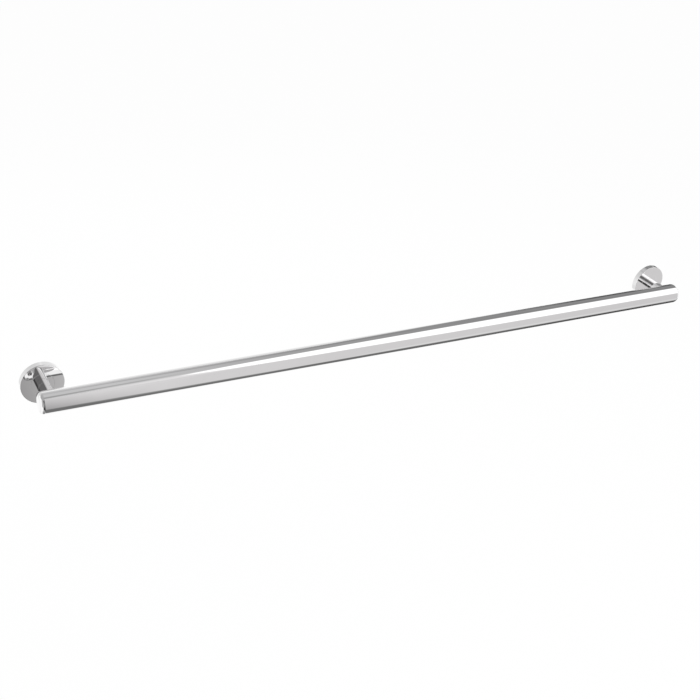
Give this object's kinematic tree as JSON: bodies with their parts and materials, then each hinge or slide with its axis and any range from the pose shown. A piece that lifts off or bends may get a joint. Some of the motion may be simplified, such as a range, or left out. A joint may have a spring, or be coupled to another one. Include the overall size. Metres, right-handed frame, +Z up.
{
  "type": "grab bar",
  "caption": "Straight round grab bar with rounded, flat-faced ends, carried on short posts and thick round flanges that hide the wall brackets.",
  "frame": {"origin": "on the wall, midway between the posts and level with the bar's axis", "axes": "+X along the bar to the right as seen from the room, +Y into the wall, +Z up"},
  "size_m": [1.1268, 0.0698, 0.06],
  "materials": {
    "polished_chrome": "mirror polished",
    "zinc_plate": "bright zinc plated",
    "screw_steel": "plain stainless"
  },
  "bodies": {
    "root": {"bar_tube": "polished_chrome", "left_end_cap": "polished_chrome", "left_post": "polished_chrome", "left_flange": "polished_chrome", "right_end_cap": "polished_chrome", "right_post": "polished_chrome", "right_flange": "polished_chrome", "left_wall_bracket": "zinc_plate", "left_flange_screw": "screw_steel", "left_grub_screw": "screw_steel", "right_wall_bracket": "zinc_plate", "right_flange_screw": "screw_steel", "right_grub_screw": "screw_steel"}
  },
  "joints": []
}
